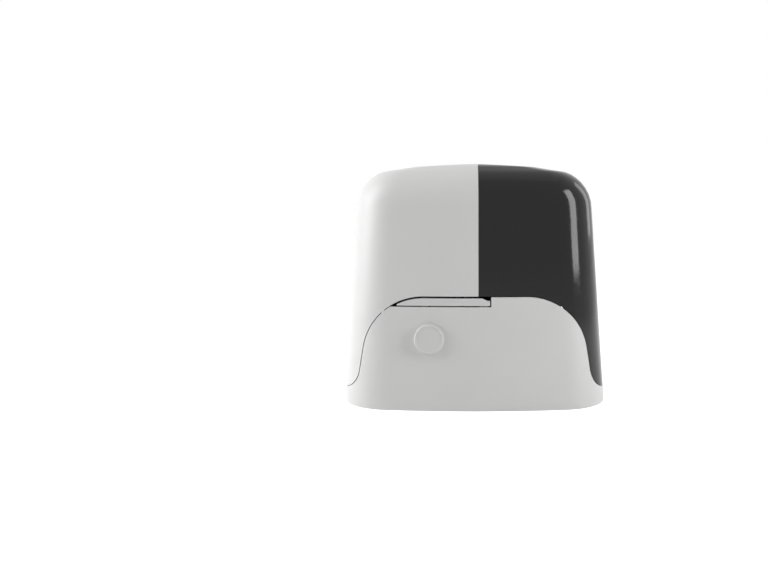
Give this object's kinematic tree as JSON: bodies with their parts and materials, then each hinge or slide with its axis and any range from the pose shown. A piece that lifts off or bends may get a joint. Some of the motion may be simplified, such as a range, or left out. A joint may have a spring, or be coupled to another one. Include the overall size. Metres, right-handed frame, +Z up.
{
  "type": "sliding gate motor",
  "caption": "Sliding gate motor with a lift-off two-tone cover, rack pinion and guard, limit switch rod, release lever, lock and a light strip on one end.",
  "frame": {"origin": "centre of the four anchor slots at the housing's underside", "axes": "+Z up, +X along the gate towards the end with the light, -Y towards the release lever and lock, +Y towards the gate and its rack"},
  "size_m": [0.3368, 0.2087, 0.3032],
  "materials": {
    "light_plastic": "satin, fine moulded grain",
    "guard_plastic": "satin, moulded",
    "dark_plastic": "gloss",
    "dark_gloss": "high gloss",
    "lens": "translucent white, lit",
    "lever_plastic": "satin, moulded",
    "black_plastic": "matte",
    "terminal_plastic": "satin",
    "circuit_board": "satin solder mask",
    "rubber": "matte",
    "zinc": "zinc plated, satin",
    "steel": "ground",
    "dark_metal": "blackened",
    "cast_aluminium": "as cast",
    "motor_paint": "black, satin",
    "ferrite": "matte",
    "laminations": "oiled sheet edges",
    "coil_tape": "tape, satin",
    "copper": "turned",
    "bronze": "machined",
    "brass": "satin"
  },
  "bodies": {
    "base": {"base_housing": "light_plastic", "cable_grommet": "rubber", "gear_case": "cast_aluminium", "gear_case_lid": "cast_aluminium", "rear_bearing": "steel", "front_bearing": "steel", "oil_seal": "rubber", "worm_low_bearing": "steel", "worm_high_bearing": "steel", "flange_ring": "zinc", "motor_can": "motor_paint", "motor_cap": "cast_aluminium", "magnet_front": "ferrite", "magnet_back": "ferrite", "pinion_guard": "guard_plastic", "guard_screws": "zinc", "lever_pin": "steel", "rod_guide": "cast_aluminium", "lock_barrel": "brass", "cap_pin": "steel", "limit_housing": "black_plastic", "limit_pin": "steel", "limit_switches": "black_plastic", "transformer_core": "laminations", "transformer_coil": "coil_tape", "transformer_foot": "zinc", "board_tray": "black_plastic", "control_board": "circuit_board", "terminal_blocks": "terminal_plastic", "relays": "black_plastic", "capacitor": "black_plastic", "heat_sink": "cast_aluminium", "radio_module": "circuit_board", "display": "black_plastic", "fuse_holder": "black_plastic"},
    "cover": {"cover_light": "light_plastic", "cover_dark": "dark_plastic", "light_panel": "dark_gloss", "light_lens": "lens", "light_board": "circuit_board"},
    "output": {"output_shaft": "steel", "pinion": "zinc", "pinion_key": "steel", "pinion_bolt": "zinc", "worm_wheel": "bronze"},
    "rotor": {"worm_shaft": "steel", "rotor_core": "laminations", "commutator": "copper", "encoder_disc": "black_plastic"},
    "lever": {"release_lever": "lever_plastic"},
    "clutch": {"release_rod": "zinc"},
    "cap": {"lock_cap": "light_plastic"},
    "plug": {"lock_plug": "zinc"},
    "limit": {"limit_rod": "zinc", "limit_tip": "dark_metal"}
  },
  "joints": [
    {"name": "cover_lift", "type": "slide", "parent": "base", "child": "cover", "axis": [0, 0, 1], "range_m": [0, 0.3]},
    {"name": "worm_spin", "type": "hinge", "parent": "base", "child": "rotor", "pos_m": [0.04, 0.015, 0.1], "axis": [0, 0, 1], "continuous": true},
    {"name": "output_spin", "type": "hinge", "parent": "base", "child": "output", "pos_m": [0.08, 0.1, 0.059], "axis": [0, 1, 0], "continuous": true},
    {"name": "lever_swing", "type": "hinge", "parent": "base", "child": "lever", "pos_m": [-0.062, -0.068, 0.13], "axis": [0, 0, -1], "range_deg": [0, 90]},
    {"name": "clutch_slide", "type": "slide", "parent": "base", "child": "clutch", "axis": [1, 0, 0], "range_m": [0, 0.005]},
    {"name": "lock_cap_swing", "type": "hinge", "parent": "base", "child": "cap", "pos_m": [-0.056, -0.083, 0.10025], "axis": [0, 1, 0], "range_deg": [0, 110]},
    {"name": "lock_plug_turn", "type": "hinge", "parent": "base", "child": "plug", "pos_m": [-0.056, -0.07, 0.087], "axis": [0, 1, 0], "range_deg": [0, 90]},
    {"name": "limit_rod_swing", "type": "hinge", "parent": "base", "child": "limit", "pos_m": [0.08, 0.066, 0.13], "axis": [0, 0, 1], "range_deg": [-25, 25], "stiffness_Nm_per_rad": 0.2}
  ],
  "couplings": [
    {"joint": "output_spin", "follows": "worm_spin", "ratio": -0.033333},
    {"joint": "clutch_slide", "follows": "lever_swing", "m_per_rad": 0.0031831}
  ]
}
